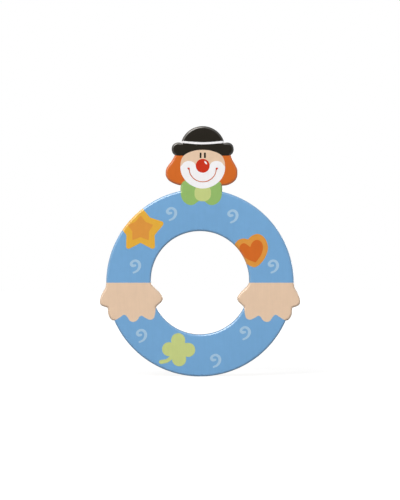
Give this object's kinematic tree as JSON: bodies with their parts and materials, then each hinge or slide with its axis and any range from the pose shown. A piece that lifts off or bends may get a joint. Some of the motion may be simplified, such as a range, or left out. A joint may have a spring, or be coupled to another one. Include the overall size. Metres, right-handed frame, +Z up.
{
  "type": "wooden door letter",
  "caption": "Flat wooden letter O shaped as a clown: the ring is the printed suit with hands and ornaments, with bow tie and hatted head on top; foam pads stick it to a door.",
  "frame": {"origin": "centre of the ring, on the plane of the door behind the foam pads", "axes": "+X to the viewer's right, +Y into the door, +Z up; the printed front faces -Y"},
  "size_m": [0.0882, 0.0078, 0.1102],
  "materials": {
    "birch_face": "sanded birch veneer, grain upright",
    "birch_cross": "birch veneer, end grain at the edge",
    "foam": "white closed-cell foam with adhesive",
    "suit_blue": "satin print on wood",
    "skin": "satin print on wood",
    "hair_orange": "satin print on wood",
    "hat_black": "satin print on wood",
    "white": "satin print on wood",
    "nose_red": "satin print on wood",
    "smile_red": "satin print on wood",
    "bow_green": "satin print on wood",
    "leaf_green": "satin print on wood",
    "star_yellow": "satin print on wood",
    "star_amber": "satin print on wood",
    "swirl_blue": "satin print on wood"
  },
  "bodies": {
    "root": {"back_face_ply": "birch_face", "back_cross_ply": "birch_cross", "core_ply": "birch_face", "front_cross_ply": "birch_cross", "front_face_ply": "birch_face", "pad_top": "foam", "pad_left": "foam", "pad_right": "foam", "suit_upper_print": "suit_blue", "suit_lower_print": "suit_blue", "hand_left_print": "skin", "hand_right_print": "skin", "face_print": "skin", "hair_left_print": "hair_orange", "hair_right_print": "hair_orange", "hat_crown_print": "hat_black", "hat_brim_print": "hat_black", "hat_band_print": "white", "eye_left_print": "hat_black", "eye_right_print": "hat_black", "muzzle_print": "white", "nose_print": "nose_red", "nose_glint_print": "white", "smile_print": "smile_red", "bow_left_print": "bow_green", "bow_right_print": "bow_green", "bow_knot_print": "leaf_green", "star_print": "star_yellow", "star_centre_print": "star_amber", "heart_print": "star_amber", "heart_centre_print": "hair_orange", "clover_print": "leaf_green", "swirl_1_print": "swirl_blue", "swirl_2_print": "swirl_blue", "swirl_3_print": "swirl_blue", "swirl_4_print": "swirl_blue", "swirl_5_print": "swirl_blue", "swirl_6_print": "swirl_blue", "swirl_7_print": "swirl_blue"}
  },
  "joints": []
}
